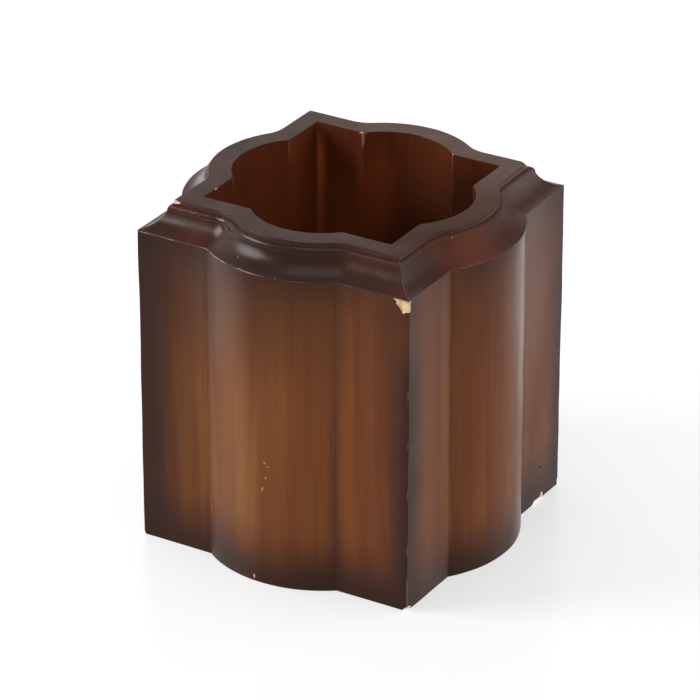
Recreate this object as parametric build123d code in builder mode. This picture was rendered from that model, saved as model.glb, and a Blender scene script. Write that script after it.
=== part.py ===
from build123d import *
from math import sqrt
import os

# Square brush pot with a shallow bow on each side. Four mitred walls stand on the table, four
# mitred lengths of moulding make the rim, and a board let into the walls from below is the floor.
# The origin is on the table at the centre of the square. +Z runs up the axis, -Y is the front
# and +X the right-hand side. All sizes are in millimetres.

# Body
side = 100.0                # across the flats of two opposite walls
height = 119.3              # table to the top of the rim
wall_thickness = 15.5       # through a flat

# Bows, each drawn as a chord on the flat and how far the arc stands out from it
bow_width = 47.6
bow_depth = 8.0
cavity_bow_width = 33.8
cavity_bow_depth = 7.2

# Rim moulding, from its lower edge to its top
rim_height = 9.7
lip_height = 0.5            # upright lip along the lower edge
cove_sag = 1.1              # how far the cove is hollowed below its chord
bead_height = 2.0
bead_width = 1.1
bead_crown = 0.35           # how far the bead is rounded out from its chord
quirk_width = 0.4           # ledge between the bead and the riser
riser_height = 1.5          # from the quirk up to the top
riser_lean = 0.15           # how far the riser leans in as it climbs
top_ease = 0.45             # rounding of the top's outer edge
top_width = 6.5             # flat top, measured out from the cavity
valley_radius = 3.0         # softening where the moulding turns from a flat into a bow

# Base board, let into a rebate in the walls and pinned up through its edge
base_thickness = 6.0
base_recess = 2.0           # underside of the board above the table
rebate_width = 4.0          # how far the board runs in under the walls
base_gap = 0.2              # all round the board, for the wood to move
pin_diameter = 1.2
pin_length = 14.0

# Loose tongues in the mitres of the walls
tongue_thickness = 3.0
tongue_width = 10.0
tongue_margin = 12.0        # stopped short of the bottom and the top of the walls
tongue_end_gap = 0.5        # room for glue past each edge of the tongue

# Dowels between the walls and the rim
dowel_diameter = 5.0
dowel_in_wall = 10.0
dowel_in_rim = 5.0
dowel_end_gap = 0.5         # room for glue past each end of the dowel
dowel_cover = 2.0           # wood left between a dowel and the cavity

# Worked out
outer = side / 2
inner = outer - wall_thickness
wall_top = height - rim_height
rebate_top = base_recess + base_thickness
turns = {"front": 0, "right": 90, "back": 180, "left": 270}
corners = {"front_right": 45, "back_right": 135, "back_left": 225, "front_left": 315}
reach = side + bow_depth    # longer than any half side, for cuts that run past the mitres


def bow_radius(width, depth):
    return (width**2 / 4 + depth**2) / (2 * depth)


def turned(turn, z=0):
    """A level plane at height z, turned about the axis so that its -Y looks out of one side."""
    return Plane.XY.offset(z).rotated((0, 0, turn))


def bowed_square(half, radius, centre):
    """The whole plan: a square of that half side with a bow of that radius on each side."""
    chord = 2 * sqrt(radius**2 - (half - centre) ** 2)
    with BuildSketch() as plan:
        with BuildLine():
            for turn in turns.values():
                corner = Vector(-half, -half).rotate(Axis.Z, turn)
                start = Vector(-chord / 2, -half).rotate(Axis.Z, turn)
                crown = Vector(0, -centre - radius).rotate(Axis.Z, turn)
                end = Vector(chord / 2, -half).rotate(Axis.Z, turn)
                next_corner = Vector(half, -half).rotate(Axis.Z, turn)
                Line(corner, start)
                ThreePointArc(start, crown, end)
                Line(end, next_corner)
        make_face()
    return plan.sketch


def cavity_plan(growth=0.0):
    """The plan of the cavity, grown outwards by an even amount."""
    radius = bow_radius(cavity_bow_width, cavity_bow_depth)
    return bowed_square(inner + growth, radius + growth, inner + cavity_bow_depth - radius)


def outside_line(half_length, softening=0.0):
    """The outside of one side from end to end: flat, bow and flat."""
    with BuildLine() as line:
        Line((-half_length, -outer), (-bow_width / 2, -outer))
        ThreePointArc((-bow_width / 2, -outer), (0, -outer - bow_depth), (bow_width / 2, -outer))
        Line((bow_width / 2, -outer), (half_length, -outer))
        if softening:
            valleys = [v for v in line.vertices() if abs(v.X) < half_length - 1e-6]
            fillet(valleys, softening)
    return line.line


def side_plan(softening=0.0):
    """The plan of one side between its two mitres, from the outside to the cavity."""
    with BuildSketch() as plan:
        with BuildLine():
            add(outside_line(outer, softening))
            Line((outer, -outer), (inner, -inner))
            Line((inner, -inner), (cavity_bow_width / 2, -inner))
            ThreePointArc(
                (cavity_bow_width / 2, -inner),
                (0, -inner - cavity_bow_depth),
                (-cavity_bow_width / 2, -inner),
            )
            Line((-cavity_bow_width / 2, -inner), (-inner, -inner))
            Line((-inner, -inner), (-outer, -outer))
        make_face()
    return plan.sketch


def air_over_moulding():
    """The air over the rim moulding as a section: X runs in from the outside face, Y up."""
    ease_in = wall_thickness - top_width
    riser_top = ease_in - top_ease
    riser_foot = riser_top - riser_lean
    bead_top = riser_foot - quirk_width
    bead_foot = bead_top - bead_width
    quirk_y = rim_height - riser_height
    bead_y = quirk_y - bead_height
    clear = valley_radius / 2
    with BuildSketch() as air:
        with BuildLine():
            Line((-clear, lip_height), (0, lip_height))
            SagittaArc((0, lip_height), (bead_foot, bead_y), -cove_sag)
            SagittaArc((bead_foot, bead_y), (bead_top, quirk_y), bead_crown)
            Line((bead_top, quirk_y), (riser_foot, quirk_y))
            Line((riser_foot, quirk_y), (riser_top, rim_height - top_ease))
            RadiusArc((riser_top, rim_height - top_ease), (ease_in, rim_height), top_ease)
            Line((ease_in, rim_height), (ease_in, rim_height + clear))
            Line((ease_in, rim_height + clear), (-clear, rim_height + clear))
            Line((-clear, rim_height + clear), (-clear, lip_height))
        make_face()
    return air.sketch


def dowel_spots():
    """Centres of one side's two dowels, between the bow and the cavity's corner."""
    across = (bow_width / 2 + inner) / 2
    along = -inner - dowel_cover - dowel_diameter / 2
    return [(-across, along), (across, along)]


def pin_spots():
    """Centres of one side's two pins, halfway along the flats of the cavity."""
    across = (cavity_bow_width / 2 + inner) / 2
    along = -inner - rebate_width / 2
    return [(-across, along), (across, along)]


def tongue_plan(end_gap=0.0):
    """A tongue's section, centred in the mitre on the -Y diagonal of a turned plane."""
    with BuildSketch() as plan:
        with Locations((0, -(outer + inner) / 2 * sqrt(2))):
            Rectangle(tongue_width + 2 * end_gap, tongue_thickness)
    return plan.sketch


def finish(builder, name):
    builder.part.label = name
    export_step(builder.part, f"parts/{name}.step")


os.makedirs("parts", exist_ok=True)

# Walls
for name, turn in turns.items():
    with BuildPart() as wall:
        with BuildSketch(turned(turn)):
            add(side_plan())
        extrude(amount=wall_top)
        with BuildSketch():
            add(cavity_plan(rebate_width))
        extrude(amount=rebate_top, mode=Mode.SUBTRACT)
        with BuildSketch(turned(turn, wall_top)):
            with Locations(*dowel_spots()):
                Circle(dowel_diameter / 2)
        extrude(amount=-dowel_in_wall - dowel_end_gap, mode=Mode.SUBTRACT)
        with BuildSketch(turned(turn, rebate_top)):
            with Locations(*pin_spots()):
                Circle(pin_diameter / 2)
        extrude(amount=base_recess + pin_length - rebate_top, mode=Mode.SUBTRACT)
        with BuildSketch(turned(turn - 45, tongue_margin), turned(turn + 45, tongue_margin)):
            add(tongue_plan(tongue_end_gap))
        extrude(amount=wall_top - 2 * tongue_margin, mode=Mode.SUBTRACT)
    finish(wall, f"wall_{name}")

# Rim mouldings
for name, turn in turns.items():
    plane = turned(turn, wall_top)
    with BuildPart() as rim:
        with BuildSketch(plane):
            add(side_plan(valley_radius))
        extrude(amount=rim_height)
        path = plane.from_local_coords(outside_line(reach, valley_radius))
        section = Plane(
            origin=plane.from_local_coords((-reach, -outer, 0)),
            x_dir=plane.y_dir,
            z_dir=plane.x_dir,
        )
        with BuildSketch(section):
            add(air_over_moulding())
        sweep(path=path, mode=Mode.SUBTRACT)
        with BuildSketch(plane):
            with Locations(*dowel_spots()):
                Circle(dowel_diameter / 2)
        extrude(amount=dowel_in_rim + dowel_end_gap, mode=Mode.SUBTRACT)
    finish(rim, f"rim_{name}")

# Tongues in the four corners
for name, turn in corners.items():
    with BuildPart() as tongue:
        with BuildSketch(turned(turn, tongue_margin)):
            add(tongue_plan())
        extrude(amount=wall_top - 2 * tongue_margin)
    finish(tongue, f"tongue_{name}")

# Dowels that hold the rim
with BuildPart() as rim_dowels:
    for turn in turns.values():
        with BuildSketch(turned(turn, wall_top - dowel_in_wall)):
            with Locations(*dowel_spots()):
                Circle(dowel_diameter / 2)
    extrude(amount=dowel_in_wall + dowel_in_rim)
finish(rim_dowels, "rim_dowels")

# Base board
with BuildPart() as base_board:
    with BuildSketch(Plane.XY.offset(base_recess)):
        add(cavity_plan(rebate_width - base_gap))
    extrude(amount=base_thickness)
    for turn in turns.values():
        with BuildSketch(turned(turn, base_recess)):
            with Locations(*pin_spots()):
                Circle(pin_diameter / 2)
        extrude(amount=base_thickness, mode=Mode.SUBTRACT)
finish(base_board, "base_board")

# Pins that hold the base board
with BuildPart() as base_pins:
    for turn in turns.values():
        with BuildSketch(turned(turn, base_recess)):
            with Locations(*pin_spots()):
                Circle(pin_diameter / 2)
    extrude(amount=pin_length)
finish(base_pins, "base_pins")
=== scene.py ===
import math

import bmesh
import bpy
from mathutils import Matrix, Vector, noise


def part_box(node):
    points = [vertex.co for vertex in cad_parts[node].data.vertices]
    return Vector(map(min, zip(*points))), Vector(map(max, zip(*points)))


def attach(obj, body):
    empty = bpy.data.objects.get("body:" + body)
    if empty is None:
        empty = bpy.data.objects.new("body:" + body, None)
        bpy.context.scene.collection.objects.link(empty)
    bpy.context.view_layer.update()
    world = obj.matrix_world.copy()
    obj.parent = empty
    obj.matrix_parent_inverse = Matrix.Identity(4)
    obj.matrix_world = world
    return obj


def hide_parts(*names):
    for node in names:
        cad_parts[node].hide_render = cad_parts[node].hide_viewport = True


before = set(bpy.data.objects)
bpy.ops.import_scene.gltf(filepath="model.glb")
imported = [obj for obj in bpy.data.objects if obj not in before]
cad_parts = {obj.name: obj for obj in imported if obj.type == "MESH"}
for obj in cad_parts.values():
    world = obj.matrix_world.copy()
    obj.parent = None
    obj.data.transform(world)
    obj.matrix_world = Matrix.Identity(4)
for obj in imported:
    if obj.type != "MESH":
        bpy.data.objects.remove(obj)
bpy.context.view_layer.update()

MM = 0.001

# ---------------------------------------------------------------- sizes
# From the frame
wall_low, wall_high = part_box("wall_front")
rim_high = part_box("rim_front")[1]
board_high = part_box("base_board")[1]
OUTER = wall_high.x                     # half the side, to the flats
INNER = -wall_high.y                    # half the cavity, to its flats
BOW_DEPTH = -wall_low.y - OUTER
WALL_TOP = wall_high.z
TOP = rim_high.z
REBATE_TOP = board_high.z

# As in the CAD part, where a box can't give them
BOW_WIDTH = 47.6 * MM
CAVITY_BOW_WIDTH = 33.8 * MM
CAVITY_BOW_DEPTH = 7.2 * MM
REBATE_WIDTH = 4.0 * MM
LIP_HEIGHT = 0.5 * MM
COVE_SAG = 1.1 * MM
BEAD_HEIGHT = 2.0 * MM
BEAD_WIDTH = 1.1 * MM
BEAD_CROWN = 0.35 * MM
QUIRK_WIDTH = 0.4 * MM
RISER_HEIGHT = 1.5 * MM
RISER_LEAN = 0.15 * MM
TOP_EASE = 0.45 * MM
TOP_WIDTH = 6.5 * MM
RIM_VALLEY = 3.0 * MM

# Softness of the lacquered edges
WALL_VALLEY = 0.3 * MM                  # where a flat meets the bow
CAVITY_RIDGE = 0.45 * MM                # where the cavity's flats meet its bows
CORNER_EASE = 0.4 * MM                  # upright corners
FOOT_EASE = 0.35 * MM                   # the walls' feet
JOINT_EASE = 0.12 * MM                  # either side of the line between wall and rim
SEAM_EASE = 0.05 * MM                   # the same line inside, filled with lacquer
LEAST_RADIUS = 0.05 * MM
SWAY = 0.18 * MM                        # how far hand work strays from the drawn line
SWAY_LENGTH = 14 * MM
SWAY_SEED = 7                           # without one, noise_vector is seeded from the clock
REACH = -wall_low.y                     # the bows' crowns, which nothing passes
SHARP_ANGLE = 32                        # folds over this many degrees stay sharp

# How finely the outlines are drawn, in points along each stretch
CORNER_POINTS = 4
FLAT_POINTS = 14
VALLEY_POINTS = 6
BOW_POINTS = 44
COVE_POINTS = 14
BEAD_POINTS = 6
ROW_STEP = 4.0 * MM                     # between points up a straight side

# The knocks' cuts
CUT_ATTEMPTS = 5
LEAST_KEPT, MOST_KEPT = 0.97, 1.005     # the share of a piece's volume a cut may leave
HAIR = 0.01 * MM                        # how far a failed cutter moves before the next try

# Places in a stave's list of materials
OUTSIDE, CAVITY, HIDDEN = 0, 1, 2

TURNS = {"front": 0, "right": 90, "back": 180, "left": 270}


# ---------------------------------------------------------------- plan curves
def bow_radius(width, depth):
    """The radius of a bow that is width across and depth proud."""
    return (width**2 / 4 + depth**2) / (2 * depth)


def arc_points(centre, radius, start, end, count):
    """Points along an arc, both ends included. Angles are in radians."""
    found = []
    for i in range(count + 1):
        angle = start + (end - start) * i / count
        found.append((centre[0] + radius * math.cos(angle), centre[1] + radius * math.sin(angle)))
    return found


def run_points(start, end, count):
    """Points along a straight run, its two ends left out."""
    found = []
    for i in range(1, count):
        share = i / count
        found.append((start[0] + (end[0] - start[0]) * share, start[1] + (end[1] - start[1]) * share))
    return found


def side_line(half, bow, depth, valley, corner):
    """One side seen from above, on -Y: half a corner, a flat, the bow, a flat and half a corner.
    half is the flat's distance from the axis, and valley the radius where flat and bow meet."""
    centre_y = bow - half - depth
    valley_y = -half - valley
    valley_x = math.sqrt((bow + valley) ** 2 - (centre_y - valley_y) ** 2)
    lean = math.atan2(centre_y - valley_y, valley_x)
    square = -(half - corner)
    line = arc_points((square, square), corner, math.radians(225), math.radians(270), CORNER_POINTS)
    line += run_points(line[-1], (-valley_x, -half), FLAT_POINTS)
    line += arc_points((-valley_x, valley_y), valley, math.pi / 2, lean, VALLEY_POINTS)
    crown = arc_points((0, centre_y), bow, math.pi + lean, 2 * math.pi - lean, BOW_POINTS)
    return line + crown[1:-1] + [(-x, y) for x, y in reversed(line)]


def outside_line(inset, valley):
    """The pot's outside, moved in by inset. valley is the radius where flat and bow meet."""
    bow = bow_radius(BOW_WIDTH, BOW_DEPTH) - inset
    softened = max(valley + inset, LEAST_RADIUS)
    return side_line(OUTER - inset, bow, BOW_DEPTH, softened, CORNER_EASE)


def cavity_line(growth):
    """The cavity's outline, moved out into the wood by growth."""
    bow = bow_radius(CAVITY_BOW_WIDTH, CAVITY_BOW_DEPTH) + growth
    ridge = max(CAVITY_RIDGE - growth, LEAST_RADIUS)
    return side_line(INNER + growth, bow, CAVITY_BOW_DEPTH, ridge, LEAST_RADIUS * 3)


# ---------------------------------------------------------------- staves
def eased(line, centre_across, centre_z, radius, start, end, count=3):
    """A rounded edge of a section. Angles in degrees: 0 points across, 90 up."""
    centre = (centre_across, centre_z)
    points = arc_points(centre, radius, math.radians(start), math.radians(end), count)
    return [(line, across, z) for across, z in points]


def rows_between(line, across, low, high):
    """Points of a section up or down a straight side, its two ends left out."""
    count = max(1, round(abs(high - low) / ROW_STEP))
    return [(line, across, low + (high - low) * i / count) for i in range(1, count)]


def with_material(points, material):
    return [(*point, material) for point in points]


def wall_section():
    """(line, across, z, material) round a wall's section. Across runs into the wood."""
    foot, joint = FOOT_EASE, JOINT_EASE
    outside = eased("outside", foot, foot, foot, 270, 180)
    outside += rows_between("outside", 0, foot, WALL_TOP - joint)
    outside += eased("outside", joint, WALL_TOP - joint, joint, 180, 90, 2)
    seam = SEAM_EASE
    cavity = eased("cavity", seam, WALL_TOP - seam, seam, 90, 180, 2)
    cavity += rows_between("cavity", 0, WALL_TOP - seam, REBATE_TOP)
    cavity += [("cavity", 0, REBATE_TOP)]
    rebate = [("cavity", REBATE_WIDTH, REBATE_TOP), ("cavity", REBATE_WIDTH, 0)]
    shown = with_material(outside, OUTSIDE) + with_material(cavity, CAVITY)
    return shown + with_material(rebate, HIDDEN)


def sag_points(start, end, sag, count):
    """Points along an arc from start to end that stands sag off its chord, to the left."""
    chord = Vector(end) - Vector(start)
    radius = (chord.length**2 / 4 + sag**2) / (2 * sag)
    side = Vector((-chord.y, chord.x)).normalized()
    centre = (Vector(start) + Vector(end)) / 2 + side * (sag - radius)
    first, last = Vector(start) - centre, Vector(end) - centre
    turn = first.angle_signed(last)
    begin = math.atan2(first.y, first.x)
    return arc_points(centre, abs(radius), begin, begin - turn, count)


def rim_section():
    """(line, across, z, material) round the moulding's section, from its lip to the cavity."""
    joint = JOINT_EASE
    ease_in = OUTER - INNER - TOP_WIDTH
    riser_top = ease_in - TOP_EASE
    riser_foot = riser_top - RISER_LEAN
    bead_top = riser_foot - QUIRK_WIDTH
    bead_foot = bead_top - BEAD_WIDTH
    quirk_z = TOP - RISER_HEIGHT
    bead_z = quirk_z - BEAD_HEIGHT
    lip_z = WALL_TOP + LIP_HEIGHT
    outside = eased("outside", joint, WALL_TOP + joint, joint, 270, 180, 2)
    outside += eased("outside", joint, lip_z - joint, joint, 180, 115, 3)
    cove = sag_points((joint, lip_z), (bead_foot, bead_z), -COVE_SAG, COVE_POINTS)
    bead = sag_points((bead_foot, bead_z), (bead_top, quirk_z), BEAD_CROWN, BEAD_POINTS)
    outside += [("outside", *p) for p in cove[1:] + bead[1:]]
    outside += [("outside", riser_foot, quirk_z)]
    outside += eased("outside", ease_in, TOP - TOP_EASE, TOP_EASE, 180, 90, 4)
    outside += eased("cavity", joint * 2, TOP - joint * 2, joint * 2, 90, 180, 3)
    seam = SEAM_EASE
    cavity = rows_between("cavity", 0, TOP - joint * 2, WALL_TOP + seam)
    cavity += eased("cavity", seam, WALL_TOP + seam, seam, 180, 270, 2)
    return with_material(outside, OUTSIDE) + with_material(cavity, CAVITY)


def stave(name, section, valley, turn, materials):
    """One mitred piece: the section carried along its side of the pot, and closed at the mitres.
    Faces take the material of the section point they end at, or the last one given."""
    lines = {}
    for kind, across, _, _ in section:
        if (kind, across) not in lines:
            made = outside_line(across, valley) if kind == "outside" else cavity_line(across)
            lines[kind, across] = made
    spin = Matrix.Rotation(math.radians(turn), 4, "Z")
    mesh = bmesh.new()
    rows = []
    for kind, across, z, _ in section:
        rows.append([mesh.verts.new(spin @ Vector((x, y, z))) for x, y in lines[kind, across]])
    for j, row in enumerate(rows):
        following = rows[(j + 1) % len(rows)]
        material = section[j + 1][3] if j + 1 < len(rows) else HIDDEN
        for i in range(len(row) - 1):
            face = mesh.faces.new((row[i], row[i + 1], following[i + 1], following[i]))
            face.material_index = min(material, len(materials) - 1)
    for end in (0, -1):
        face = mesh.faces.new([row[end] for row in rows])
        face.material_index = len(materials) - 1
    for vert in mesh.verts:
        sway = noise.noise_vector(vert.co / SWAY_LENGTH) * SWAY
        vert.co.x = max(-REACH, min(REACH, vert.co.x + sway.x))
        vert.co.y = max(-REACH, min(REACH, vert.co.y + sway.y))
    bmesh.ops.recalc_face_normals(mesh, faces=mesh.faces)
    data = bpy.data.meshes.new(name)
    mesh.to_mesh(data)
    mesh.free()
    for material in materials:
        data.materials.append(material)
    made = bpy.data.objects.new(name, data)
    bpy.context.scene.collection.objects.link(made)
    return made


def smooth(piece):
    """Rounded faces shade smoothly, and sharp folds stay sharp."""
    for polygon in piece.data.polygons:
        polygon.use_smooth = True
    piece.data.set_sharp_from_angle(angle=math.radians(SHARP_ANGLE))
    weighted = piece.modifiers.new("weighted", "WEIGHTED_NORMAL")
    weighted.keep_sharp = True


def lump(centre, radii, seed, material):
    """An uneven, splintery egg that cuts a chip, smoother the larger it is. In millimetres."""
    uneven = min(0.22, 9 / max(radii) ** 2)
    mesh = bmesh.new()
    bmesh.ops.create_icosphere(mesh, subdivisions=4, radius=1.0)
    shift = Vector((seed * 7.3, seed * 3.1, seed * 5.7))
    for vert in mesh.verts:
        place = Vector(vert.co[i] * radii[i] for i in range(3))
        broad = noise.noise(place * 0.7 + shift)
        splinters = noise.noise(Vector((place.x * 3.0, place.y * 3.0, place.z * 1.2)) + shift)
        swell = 1 + uneven * (broad + 0.23 * splinters)
        vert.co = (Vector(centre) + place * swell) * MM
    data = bpy.data.meshes.new("cutter")
    mesh.to_mesh(data)
    mesh.free()
    data.materials.append(material)
    made = bpy.data.objects.new("cutter", data)
    bpy.context.scene.collection.objects.link(made)
    return made


def volume(data):
    """The volume a closed mesh holds, in cubic metres."""
    shape = bmesh.new()
    shape.from_mesh(data)
    held = shape.calc_volume()
    shape.free()
    return held


def cut(piece, cutter):
    """Takes the cutter out of the piece, and gives the new faces the cutter's material.
    A cut that would lose the piece is tried again with the cutter moved by a hair. If every
    try fails, the piece stays whole."""
    before = piece.data
    held = volume(before)
    boolean = piece.modifiers.new("cut", "BOOLEAN")
    boolean.operation = "DIFFERENCE"
    boolean.solver = "MANIFOLD"
    boolean.material_mode = "TRANSFER"
    boolean.object = cutter
    after = None
    for _ in range(CUT_ATTEMPTS):
        bpy.context.view_layer.update()
        seen = piece.evaluated_get(bpy.context.evaluated_depsgraph_get())
        after = bpy.data.meshes.new_from_object(seen)
        if LEAST_KEPT < volume(after) / held < MOST_KEPT:
            break
        bpy.data.meshes.remove(after)
        after = None
        cutter.location.x += HAIR
    piece.modifiers.remove(boolean)
    if after:
        piece.data = after
        bpy.data.meshes.remove(before)


# ---------------------------------------------------------------- materials
def srgb(red, green, blue):
    """A colour given as display values out of 255, as linear light."""
    def linear(value):
        value /= 255
        return value / 12.92 if value <= 0.04045 else ((value + 0.055) / 1.055) ** 2.4
    return linear(red), linear(green), linear(blue), 1.0


# Scratches low on the front bow: both ends and the width, in millimetres
SCRATCHES = [
    ((0.6, -57.9, 34.2), (-2.3, -57.8, 28.2), 0.17),
    ((-2.9, -57.8, 27.2), (-3.5, -57.7, 23.6), 0.16),
    ((1.3, -57.9, 35.0), (0.9, -57.9, 34.0), 0.45),
    ((2.3, -57.9, 43.9), (1.6, -57.9, 44.4), 0.4),
    ((3.3, -57.8, 43.1), (2.9, -57.8, 42.8), 0.4),
    ((2.4, -57.9, 38.9), (2.2, -57.9, 38.6), 0.5),
    ((18.4, -53.6, 20.8), (18.5, -53.5, 24.2), 0.17),
]


class Shader:
    """A node material that is built up call by call. Every coordinate is in millimetres."""

    def __init__(self, name):
        self.material = bpy.data.materials.new(name)
        self.material.use_nodes = True
        self.tree = self.material.node_tree
        self.surface = self.tree.nodes["Principled BSDF"]
        place = self.tree.nodes.new("ShaderNodeTexCoord").outputs["Object"]
        self.place = self.vector("SCALE", place, scale=1 / MM)
        split = self.tree.nodes.new("ShaderNodeSeparateXYZ")
        self.tree.links.new(self.place, split.inputs[0])
        self.z = split.outputs[2]
        x = self.math("ABSOLUTE", split.outputs[0])
        y = self.math("ABSOLUTE", split.outputs[1])
        self.s = self.math("MINIMUM", x, y)                 # from a side's middle to its corner
        self.out = self.math("MAXIMUM", x, y)               # from the axis to a side
        self.from_mitre = self.math("SUBTRACT", self.out, self.s)
        self.sideways = self.math("SUBTRACT", x, y)         # over 0 on the left and right sides

    def put(self, socket, value):
        if isinstance(value, bpy.types.NodeSocket):
            self.tree.links.new(value, socket)
        else:
            socket.default_value = value

    def math(self, operation, a, b=0.0, clamp=False):
        node = self.tree.nodes.new("ShaderNodeMath")
        node.operation = operation
        node.use_clamp = clamp
        self.put(node.inputs[0], a)
        self.put(node.inputs[1], b)
        return node.outputs[0]

    def vector(self, operation, a, b=None, scale=None):
        node = self.tree.nodes.new("ShaderNodeVectorMath")
        node.operation = operation
        self.put(node.inputs[0], a)
        if b is not None:
            self.put(node.inputs[1], b)
        if scale is not None:
            self.put(node.inputs["Scale"], scale)
        return node.outputs[0]

    def distance(self, centre, z_scale=1.0):
        """Millimetres from a point, with heights counted z_scale times."""
        node = self.tree.nodes.new("ShaderNodeVectorMath")
        node.operation = "DISTANCE"
        self.put(node.inputs[0], self.vector("MULTIPLY", self.place, (1, 1, z_scale)))
        self.put(node.inputs[1], (centre[0], centre[1], centre[2] * z_scale))
        return node.outputs["Value"]

    def times(self, *factors):
        product = factors[0]
        for factor in factors[1:]:
            product = self.math("MULTIPLY", product, factor)
        return product

    def rise(self, value, start, end, low=0.0, high=1.0):
        """low below start, high above end, and a smooth step between them."""
        node = self.tree.nodes.new("ShaderNodeMapRange")
        node.interpolation_type = "SMOOTHSTEP"
        for socket, setting in zip(node.inputs, (value, start, end, low, high)):
            self.put(socket, setting)
        return node.outputs[0]

    def noise(self, stretch, detail=3.0, roughness=0.5, distortion=0.0):
        """Noise with stretch giving how many times it repeats each millimetre along X, Y and Z."""
        node = self.tree.nodes.new("ShaderNodeTexNoise")
        self.put(node.inputs["Vector"], self.vector("MULTIPLY", self.place, stretch))
        node.inputs["Scale"].default_value = 1.0
        node.inputs["Detail"].default_value = detail
        node.inputs["Roughness"].default_value = roughness
        node.inputs["Distortion"].default_value = distortion
        return node.outputs[0]

    def specks(self, spacing, radius):
        """Small round specks, 1 inside and 0 outside."""
        node = self.tree.nodes.new("ShaderNodeTexVoronoi")
        self.put(node.inputs["Vector"], self.place)
        node.inputs["Scale"].default_value = 1 / spacing
        edge = radius / spacing
        return self.rise(node.outputs["Distance"], edge * 0.6, edge, 1.0, 0.0)

    def ramp(self, value, stops):
        node = self.tree.nodes.new("ShaderNodeValToRGB")
        self.put(node.inputs[0], value)
        elements = node.color_ramp.elements
        while len(elements) < len(stops):
            elements.new(0.5)
        for element, (position, colour) in zip(elements, stops):
            element.position = position
            element.color = colour
        return node.outputs[0]

    def mix(self, share, a, b):
        """Colour a going over to colour b. The node's colour sockets are its 7th and 8th."""
        node = self.tree.nodes.new("ShaderNodeMix")
        node.data_type = "RGBA"
        self.put(node.inputs[0], share)
        self.put(node.inputs[6], a)
        self.put(node.inputs[7], b)
        return node.outputs[2]

    def mix_value(self, share, a, b):
        """Number a going over to number b."""
        node = self.tree.nodes.new("ShaderNodeMix")
        for socket, setting in zip(node.inputs[:1] + node.inputs[2:4], (share, a, b)):
            self.put(socket, setting)
        return node.outputs[0]

    def dash(self, start, end, width):
        """A short straight mark between two points, 1 inside and 0 outside."""
        start, end = Vector(start), Vector(end)
        run = end - start
        from_start = self.vector("SUBTRACT", self.place, start)
        node = self.tree.nodes.new("ShaderNodeVectorMath")
        node.operation = "DOT_PRODUCT"
        self.put(node.inputs[0], from_start)
        self.put(node.inputs[1], run / run.length_squared)
        along = self.math("MULTIPLY", node.outputs["Value"], 1.0, clamp=True)
        node = self.tree.nodes.new("ShaderNodeVectorMath")
        node.operation = "DISTANCE"
        self.put(node.inputs[0], from_start)
        self.put(node.inputs[1], self.vector("SCALE", run, scale=along))
        return self.rise(node.outputs["Value"], width * 0.3, width * 0.7, 1.0, 0.0)

    def either(self, *masks):
        """One mask from several, as spray coats add up."""
        left = 1.0
        for mask in masks:
            left = self.math("MULTIPLY", left, self.math("SUBTRACT", 1.0, mask))
        return self.math("SUBTRACT", 1.0, left)

    def bump(self, height, distance, strength=1.0, normal=None):
        node = self.tree.nodes.new("ShaderNodeBump")
        node.inputs["Strength"].default_value = strength
        node.inputs["Distance"].default_value = distance
        self.put(node.inputs["Height"], height)
        if normal is not None:
            self.put(node.inputs["Normal"], normal)
        return node.outputs[0]

    def finish(self, colour, roughness, normal=None, specular=0.25):
        self.put(self.surface.inputs["Base Color"], colour)
        self.put(self.surface.inputs["Roughness"], roughness)
        self.put(self.surface.inputs["Specular IOR Level"], specular)
        if normal is not None:
            self.put(self.surface.inputs["Normal"], normal)
        return self.material


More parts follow.
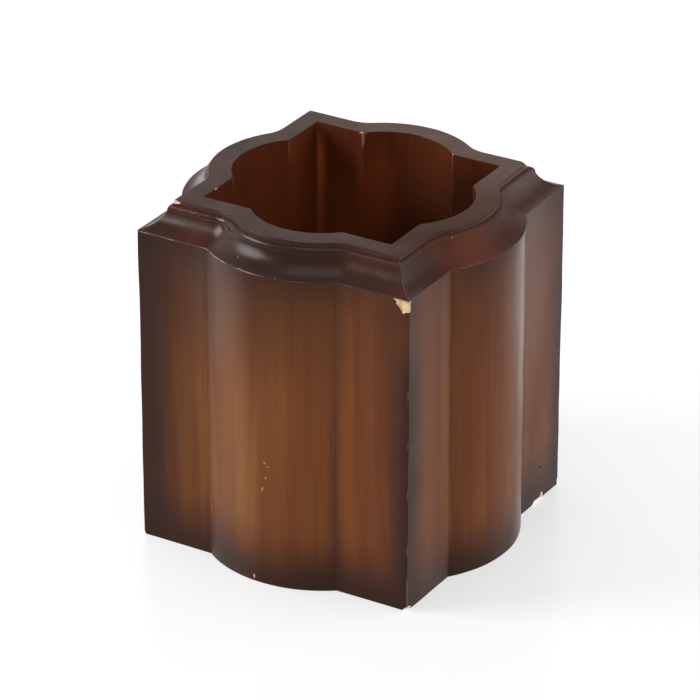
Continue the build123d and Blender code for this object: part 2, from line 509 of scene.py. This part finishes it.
def wall_lacquer():
    """Amber lacquer over upright grain, sprayed near black at corners, foot, top and valleys, with
    painted shade on the front's upper left and a painted golden glow on the front bow's left side.
    """
    look = Shader("wall_lacquer")
    broad = look.noise((0.1, 0.1, 0.005), 2, 0.5, 0.3)
    grain = look.noise((0.8, 0.8, 0.012), 4, 0.6, 0.5)
    fine = look.noise((3.0, 3.0, 0.04), 3, 0.6)
    figure = look.math("ADD", look.times(broad, 0.7), look.times(grain, 0.24))
    figure = look.math("ADD", figure, look.times(fine, 0.12))
    wood = look.ramp(figure, [
        (0.36, srgb(93, 44, 15)),
        (0.50, srgb(106, 54, 18)),
        (0.64, srgb(119, 66, 26)),
    ])
    # Painted light: a lighter, golden copy of the wood on the front bow's left side, where light from
    # the left falls.
    painted_glow = look.rise(look.distance((-14, -55, 55), 0.45), 7, 34, 0.6, 0.0)
    lit_wood = look.ramp(figure, [(0.36, srgb(110, 63, 25)), (0.64, srgb(138, 90, 45))])
    wood = look.mix(painted_glow, wood, lit_wood)
    streaks = look.rise(look.noise((1.5, 1.5, 0.012), 2, 0.5, 0.4), 0.55, 0.7)
    clumps = look.rise(look.noise((0.07, 0.07, 0.02), 2), 0.46, 0.6)
    streaked = look.times(streaks, clumps, look.rise(look.z, 55, 95, 0.45, 0.15))
    wood = look.mix(streaked, wood, srgb(70, 33, 13))
    drift = look.times(look.math("SUBTRACT", look.noise((0.03, 0.03, 0.02)), 0.5), 9.0)
    s = look.math("ADD", look.s, drift)
    z = look.math("ADD", look.z, drift)
    half_bow = BOW_WIDTH / MM / 2
    start_right = look.rise(z, 12, 60, 38.5, 35.5)
    start = look.mix_value(look.rise(look.distance((-50, -50, 50)), 30, 80), 24, start_right)
    most = look.rise(look.distance((50, -44, 106)), 6, 28, 0.5, 0.92)
    corner = look.rise(s, start, 51, 0.0, most)
    from_valley = look.math("ABSOLUTE", look.math("SUBTRACT", s, half_bow))
    valley = look.rise(from_valley, 0.0, 2.2, 0.32, 0.0)
    foot = look.rise(z, 1, 25, 0.9, 0.0)
    # Darker towards the top as sprayed, and more so on the front's upper left, where the extra is
    # painted shade.
    high = look.rise(z, 58, 114, 0.0, look.rise(look.distance((-20, -57, 100)), 26, 54, 0.58, 0.36))
    brim = look.rise(z, 96, 112, 0.0, look.rise(look.distance((52, -40, 112)), 8, 30, 0.1, 0.6))
    # Painted shade: the front's left flat darker towards its top left corner, where less light falls.
    painted_upper_left_shade = look.rise(look.distance((-50, -50, 112)), 5, 75, 0.42, 0.0)
    shade = look.either(corner, valley, foot, high, brim, painted_upper_left_shade)
    colour = look.mix(shade, wood, srgb(40, 16, 9))
    ridge = look.rise(look.from_mitre, 0.05, 0.3, 1.0, 0.0)
    patchy = look.rise(look.noise((0.3, 0.3, 0.11), 3), 0.57, 0.63)
    low = look.rise(look.math("ADD", look.z, look.times(drift, 2.0)), 10, 16, 1.0, 0.0)
    rubbed = look.times(ridge, look.either(look.times(patchy, 0.3), look.times(low, 0.55)))
    colour = look.mix(rubbed, colour, srgb(168, 138, 124))
    scratches = look.times(look.either(*(look.dash(*scratch) for scratch in SCRATCHES)), 0.5)
    colour = look.mix(scratches, colour, srgb(214, 178, 138))
    roughness = look.rise(look.noise((0.08, 0.08, 0.05)), 0.3, 0.7, 0.28, 0.38)
    glossy_edge = look.rise(look.distance((52.4, 20.3, 90), 0.45), 9, 26, 1.0, 0.0)
    glossy_shoulder = look.rise(look.distance((-19, -54, 98), 0.5), 5, 18, 1.0, 0.0)
    roughness = look.math("SUBTRACT", roughness, look.times(glossy_edge, 0.1))
    specular = look.math("ADD", 0.16, look.times(look.either(glossy_edge, glossy_shoulder), 0.16))
    normal = look.bump(grain, 0.02 * MM, 0.35)
    normal = look.bump(look.noise((0.35, 0.35, 0.2), 2), 0.05 * MM, 0.25, normal)
    return look.finish(colour, roughness, normal, specular)


# Painted shade on the cavity's right and back and painted light on its left: centre, how many times
# heights count, the distances where it starts and stops fading, its strength and its colour
CAVITY_PAINTED_SHADE_AND_LIGHT = [
    ((38, 8, 100), 0.6, 10, 34, 0.5, (58, 26, 13)),
    ((27, 36, 94), 0.7, 7, 24, 0.75, (44, 20, 10)),
    ((8, 42, 83), 1.0, 4, 37, 0.72, (26, 12, 7)),
    ((-36, 18, 96), 0.6, 8, 22, 0.5, (128, 62, 30)),
    ((-14, 38, 98), 0.35, 2, 9, 0.65, (140, 66, 34)),
]


def cavity_lacquer():
    """The cavity's red-brown stain, with painted light near the top and on the left, painted shade
    deep down and on the right and back, pale where its ridges are rubbed near the top.
    """
    look = Shader("cavity_lacquer")
    grain = look.noise((0.5, 0.5, 0.014), 4, 0.55, 0.2)
    colour = look.ramp(grain, [(0.3, srgb(87, 39, 19)), (0.7, srgb(98, 46, 23))])
    # Painted light: lighter from the rim down to mid depth, against the shade inside the cavity.
    # Painted shade: near black deep down.
    colour = look.mix(look.rise(look.z, 76, 114, 0.8, 0.0), colour, srgb(132, 68, 36))
    colour = look.mix(look.rise(look.z, 20, 70, 0.85, 0.0), colour, srgb(24, 10, 5))
    # Painted shade and painted light, patch by patch.
    for centre, z_scale, inner, outer, most, tone in CAVITY_PAINTED_SHADE_AND_LIGHT:
        painted_patch = look.rise(look.distance(centre, z_scale), inner, outer, most, 0.0)
        colour = look.mix(painted_patch, colour, srgb(*tone))
    on_back = look.rise(look.sideways, -0.4, 0.0, 1.0, 0.0)
    in_corner = look.rise(look.distance((-34.5, 34.5, 92), 0.4), 6, 12, 0.8, 0.0)
    band = look.times(look.rise(look.from_mitre, 0.8, 4.4, 1.0, 0.0), on_back, in_corner)
    band = look.times(band, look.rise(look.z, 82, 108, 0.8, 1.25))
    line = look.rise(look.from_mitre, 0.2, 1.2, 0.3, 0.0)
    colour = look.mix(look.either(band, line), colour, srgb(188, 98, 57))
    half_bow = CAVITY_BOW_WIDTH / MM / 2
    from_ridge = look.math("ABSOLUTE", look.math("SUBTRACT", look.s, half_bow))
    thin = look.rise(from_ridge, 0.1, 0.4, 1.0, 0.0)
    upper = look.rise(look.z, 109, 116, 0.06, 1.0)
    patchy = look.rise(look.noise((0.05, 0.05, 0.03)), 0.42, 0.58, 0.08, 0.28)
    rubbed = look.times(thin, upper, patchy)
    knocked = look.rise(look.distance((-17, 34.5, 119), 0.35), 1.0, 2.0, 0.5, 0.0)
    close = look.either(look.rise(from_ridge, 0.3, 0.6, 1.0, 0.0), look.rise(look.z, 118.4, 118.8))
    pale = look.either(rubbed, look.times(close, knocked))
    colour = look.mix(pale, colour, srgb(196, 142, 120))
    normal = look.bump(grain, 0.02 * MM, 0.3)
    return look.finish(colour, 0.4, normal, specular=0.22)


def rim_lacquer():
    """Very dark brown lacquer with redder patches, rubbed along the lip and mitres, with painted
    sheen on the top, painted light on the right side, and painted glints along the lip and the left
    bead.
    """
    look = Shader("rim_lacquer")
    patches = look.noise((0.045, 0.045, 0.045), 3, 0.5)
    colour = look.ramp(patches, [
        (0.36, srgb(46, 25, 16)),
        (0.50, srgb(55, 27, 16)),
        (0.64, srgb(69, 30, 18)),
    ])
    top = look.rise(look.z, TOP / MM - 0.08, TOP / MM - 0.02, 0.0, 0.8)
    flat_top = look.ramp(patches, [(0.4, srgb(50, 27, 15)), (0.6, srgb(56, 30, 17))])
    colour = look.mix(top, colour, flat_top)
    # Painted sheen: the top face lighter towards the back, where it reflects the light behind.
    painted_back_sheen = look.rise(look.distance((30, 50, 119)), 20, 105, 0.85, 0.0)
    colour = look.mix(look.times(painted_back_sheen, top), colour, srgb(86, 58, 50))
    dull = look.rise(look.distance((50, -10, 114)), 18, 42, 1.0, 0.0)
    below_top = look.rise(look.z, TOP / MM - 1.6, TOP / MM - 1.2, 1.0, 0.0)
    # Painted light: the right side below the top made lighter, against the shade in its quirk.
    right = look.rise(look.distance((52, 6, 114)), 22, 66, 0.75, 0.0)
    right = look.times(right, look.rise(look.z, 119, 119.2, 1.0, 0.0))
    colour = look.mix(right, colour, srgb(74, 43, 34))
    ruddy = look.rise(look.distance((53, -15, 114.5)), 3, 18, 0.75, 0.0)
    colour = look.mix(look.times(ruddy, below_top), colour, srgb(104, 54, 38))
    joint_z = WALL_TOP / MM
    # The pale line along the lip's lower arris is partly worn lacquer and partly a painted glint.
    arris = look.rise(look.z, joint_z + 0.16, joint_z + 0.34, 1.0, 0.0)
    along = look.rise(look.noise((0.1, 0.1, 0.1), 3), 0.44, 0.6, 0.3, 1.0)
    broken = look.rise(look.noise((1.2, 1.2, 1.2), 2), 0.38, 0.55, 0.35, 1.0)
    mitre = look.rise(look.from_mitre, 0.04, 0.2, 1.0, 0.0)
    most = look.either(
        look.rise(look.distance((-20, -55, 110)), 5, 9, 1.0, 0.0),
        look.rise(look.distance((-4, -58, 110)), 4, 7, 0.9, 0.0),
        look.rise(look.distance((-44, -50, 110)), 6, 16, 0.5, 0.0),
        0.18,
    )
    lip_wear_and_glint = look.times(arris, along, broken, most)
    rubbed = look.either(lip_wear_and_glint, look.times(mitre, below_top, broken, 0.2))
    colour = look.mix(rubbed, colour, srgb(214, 196, 182))
    # On the left bead, pale specks are partly dust and partly painted glints, placed where its
    # highlight falls.
    bead = look.times(look.rise(look.z, 114.9, 115.5), look.rise(look.z, 118.0, 118.6, 1.0, 0.0))
    bead_glint_zone = look.times(bead, look.rise(look.distance((-24, -47, 117)), 8, 24, 1.0, 0.0))
    drifts = look.rise(look.noise((0.5, 0.5, 1.2)), 0.38, 0.52, 0.0, 0.7)
    dust_and_glints = look.times(bead_glint_zone, look.specks(0.6, 0.11), drifts)
    colour = look.mix(look.either(look.specks(5.0, 0.18), dust_and_glints), colour, srgb(206, 194, 186))
    roughness = look.rise(look.noise((0.1, 0.1, 0.1)), 0.3, 0.7, 0.22, 0.32)
    roughness = look.math("ADD", roughness, look.times(top, 0.12))
    roughness = look.math("ADD", roughness, look.times(dull, 0.3))
    roughness = look.math("SUBTRACT", roughness, look.times(bead_glint_zone, 0.1))
    matt = look.either(look.times(top, 0.6), look.times(dull, below_top, 0.8))
    specular = look.mix_value(matt, 0.22, 0.09)
    normal = look.bump(look.noise((0.5, 0.5, 0.5), 2), 0.05 * MM, 0.3)
    normal = look.bump(look.noise((0.16, 0.16, 0.16), 2), 0.3 * MM, 0.3, normal)
    normal = look.bump(look.noise((2.2, 2.2, 2.2), 2), 0.02 * MM, 0.3, normal)
    return look.finish(colour, roughness, normal, specular)


def bare_wood(name, pale, dark, grain_stretch=(0.8, 0.8, 0.05)):
    """Unfinished wood: joints, the walls' feet and what shows in a chip."""
    look = Shader(name)
    grain = look.noise(grain_stretch, 5, 0.65)
    colour = look.ramp(grain, [(0.3, dark), (0.7, pale)])
    normal = look.bump(grain, 0.1 * MM, 0.6)
    return look.finish(colour, 0.75, normal, specular=0.15)


def pin_steel():
    """Drawn wire, a little streaky."""
    look = Shader("pin_steel")
    drawn = look.noise((3, 3, 0.2), 3)
    look.surface.inputs["Metallic"].default_value = 1.0
    colour = look.ramp(drawn, [(0.3, srgb(130, 130, 132)), (0.7, srgb(175, 175, 178))])
    return look.finish(colour, look.rise(drawn, 0.3, 0.7, 0.25, 0.45), specular=0.5)


walls_look = wall_lacquer()
cavity_look = cavity_lacquer()
raw_look = bare_wood("raw_wood", srgb(244, 224, 180), srgb(206, 172, 120), (1.8, 1.8, 0.6))
blush_look = bare_wood("blush_wood", srgb(240, 206, 182), srgb(200, 146, 118), (1.4, 1.4, 0.5))
chalk_look = bare_wood("chalk_wood", srgb(250, 244, 232), srgb(226, 208, 184), (1.4, 1.4, 0.8))
hole_look = bare_wood("hole_wood", srgb(40, 24, 16), srgb(20, 12, 8))
rim_look = rim_lacquer()
joint_look = bare_wood("joint_wood", srgb(205, 172, 128), srgb(178, 140, 96))
foot_look = bare_wood("foot_wood", srgb(88, 54, 34), srgb(58, 34, 22), (0.6, 0.6, 0.6))
base_look = bare_wood("base_wood", srgb(84, 44, 24), srgb(56, 28, 16), (0.05, 0.7, 0.7))
steel_look = pin_steel()

# ---------------------------------------------------------------- walls and rims
noise.seed_set(SWAY_SEED)
pieces = {}
for side, turn in TURNS.items():
    looks = [walls_look, cavity_look, foot_look]
    wall = stave(f"wall_{side}_wood", wall_section(), WALL_VALLEY, turn, looks)
    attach(wall, "root")
    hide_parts(f"wall_{side}")
    looks = [rim_look, cavity_look, foot_look]
    rim = stave(f"rim_{side}_moulding", rim_section(), RIM_VALLEY, turn, looks)
    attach(rim, "root")
    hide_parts(f"rim_{side}")
    pieces[f"wall_{side}"] = wall
    pieces[f"rim_{side}"] = rim

# Knocks of age: the pieces cut, the cutter's centre and radii in millimetres, and the look of the
# hollow. A knock's place in the list seeds its shape.
KNOCKS = [
    (("wall_front", "wall_right"), (49.9, -51.2, 110.2), (6.3, 2.4, 5.6), raw_look),
    (("rim_front", "rim_left"), (-41.1, -41.9, 118.9), (2.5, 0.8, 0.7), blush_look),
    (("rim_left",), (-34.1, -27.4, 119.5), (0.7, 1.3, 0.9), blush_look),
    (("rim_left",), (-33.9, -17.2, 119.4), (1.3, 1.1, 1.3), rim_look),
    (("rim_left",), (-34.0, -30.8, 119.6), (0.6, 2.2, 0.6), rim_look),
    (("rim_front",), (-31.5, -34.1, 119.6), (1.9, 0.5, 0.5), rim_look),
    (("rim_front", "rim_right"), (41.5, -40.7, 119.4), (0.35, 1.2, 0.35), chalk_look),
    (("rim_back",), (-17.1, 34.35, 119.5), (1.3, 0.35, 0.4), blush_look),
    (("rim_back",), (16.9, 34.35, 119.5), (0.7, 0.35, 0.4), blush_look),
    (("wall_front", "wall_right"), (50.4, -49.5, -0.1), (2.0, 2.2, 1.8), chalk_look),
    (("wall_right",), (50.6, 35.8, -0.3), (1.9, 4.4, 1.5), chalk_look),
    (("wall_right",), (50.5, 38.6, 0.4), (1.6, 1.0, 2.1), chalk_look),
    (("wall_right",), (50.1, 37.6, 12.3), (1.2, 0.45, 0.5), hole_look),
    (("wall_front",), (-2.4, -57.9, 1.7), (0.4, 0.35, 0.8), blush_look),
    (("rim_right", "rim_back"), (43.7, 43.7, 129.6), (12.0, 12.0, 12.0), rim_look),
    (("wall_front", "wall_left"), (-51.0, -51.0, -1.2), (2.0, 2.0, 4.6), walls_look),
    (("wall_right", "wall_back"), (51.0, 51.0, -1.4), (2.2, 2.2, 5.0), walls_look),
    (("wall_left", "wall_back"), (-51.0, 51.0, -1.0), (1.8, 1.8, 3.4), walls_look),
]
for number, (names, centre, radii, look) in enumerate(KNOCKS):
    cutter = lump(centre, radii, number, look)
    for name in names:
        cut(pieces[name], cutter)
    bpy.data.objects.remove(cutter)
for piece in pieces.values():
    smooth(piece)

# ---------------------------------------------------------------- CAD pieces that stay
for name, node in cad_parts.items():
    look = None
    if name.startswith("tongue") or name == "rim_dowels":
        look = joint_look
    elif name == "base_board":
        look = base_look
    elif name == "base_pins":
        look = steel_look
    if look:
        node.data.materials.clear()
        node.data.materials.append(look)


# ---------------------------------------------------------------- stage, light and camera
FLOOR_RADIUS = 40.0                     # so wide that its edge stays far behind the pot
FLOOR_DROP = 0.02 * MM                  # keeps the floor off the feet
FLOOR_GLOW = 0.56
SKY_STRENGTH = 0.44

# Azimuth and elevation in degrees, distance and size in metres, power in watts
SOFTBOXES = {
    "key_softbox": (-55, 31, 1.4, 0.6, 12.2),
    "left_softbox": (-98, 16, 1.4, 1.5, 5.0),
    "right_softbox": (125, 22, 1.4, 1.2, 7.2),
    "back_softbox": (205, 25, 1.4, 1.0, 1.6),
    "top_softbox": (20, 80, 1.2, 0.8, 2.5),
}


def stage_floor(radius):
    """A pale floor that glows a little, so that it stays white under soft light."""
    data = bpy.data.meshes.new("floor")
    mesh = bmesh.new()
    bmesh.ops.create_circle(mesh, cap_ends=True, segments=96, radius=radius)
    mesh.to_mesh(data)
    mesh.free()
    floor = bpy.data.objects.new("floor", data)
    floor.location.z = -FLOOR_DROP
    bpy.context.scene.collection.objects.link(floor)
    look = bpy.data.materials.new("floor_white")
    look.use_nodes = True
    surface = look.node_tree.nodes["Principled BSDF"]
    surface.inputs["Base Color"].default_value = (0.45, 0.45, 0.45, 1)
    surface.inputs["Roughness"].default_value = 0.25
    surface.inputs["Specular IOR Level"].default_value = 0.3
    surface.inputs["Emission Color"].default_value = (1, 1, 1, 1)
    surface.inputs["Emission Strength"].default_value = FLOOR_GLOW
    data.materials.append(look)


def softbox(name, azimuth, elevation, distance, size, power):
    """A square soft light at that bearing, which looks at the pot. Azimuth 0 is on -Y, 90 on +X."""
    light = bpy.data.lights.new(name, "AREA")
    light.size = size
    light.energy = power
    lamp = bpy.data.objects.new(name, light)
    a, e = math.radians(azimuth), math.radians(elevation)
    towards = Vector((math.sin(a) * math.cos(e), -math.cos(a) * math.cos(e), math.sin(e)))
    aim = Vector((0, 0, TOP / 2))
    lamp.location = aim + towards * distance
    lamp.rotation_mode = "QUATERNION"
    lamp.rotation_quaternion = (-towards).to_track_quat("-Z", "Y")
    bpy.context.scene.collection.objects.link(lamp)


stage_floor(FLOOR_RADIUS)
world = bpy.data.worlds.new("studio")
world.use_nodes = True
sky = world.node_tree.nodes["Background"]
sky.inputs["Color"].default_value = (1, 1, 1, 1)
sky.inputs["Strength"].default_value = SKY_STRENGTH
bpy.context.scene.world = world
for name, settings in SOFTBOXES.items():
    softbox(name, *settings)

AZIMUTH, ELEVATION = math.radians(30.99), math.radians(26.63)
DISTANCE = 1.462
AIM = Vector((1.34, -4.16, 60.98)) * MM
camera_data = bpy.data.cameras.new("camera")
camera_data.sensor_width = 36
camera_data.lens = 231.4
camera_data.clip_start, camera_data.clip_end = 0.05, 50
camera = bpy.data.objects.new("camera", camera_data)
back = Vector((
    math.sin(AZIMUTH) * math.cos(ELEVATION),
    -math.cos(AZIMUTH) * math.cos(ELEVATION),
    math.sin(ELEVATION),
))
camera.location = AIM + back * DISTANCE
camera.rotation_mode = "QUATERNION"
camera.rotation_quaternion = (-back).to_track_quat("-Z", "Y")
bpy.context.scene.collection.objects.link(camera)
bpy.context.scene.camera = camera
bpy.context.scene.view_settings.view_transform = "Standard"
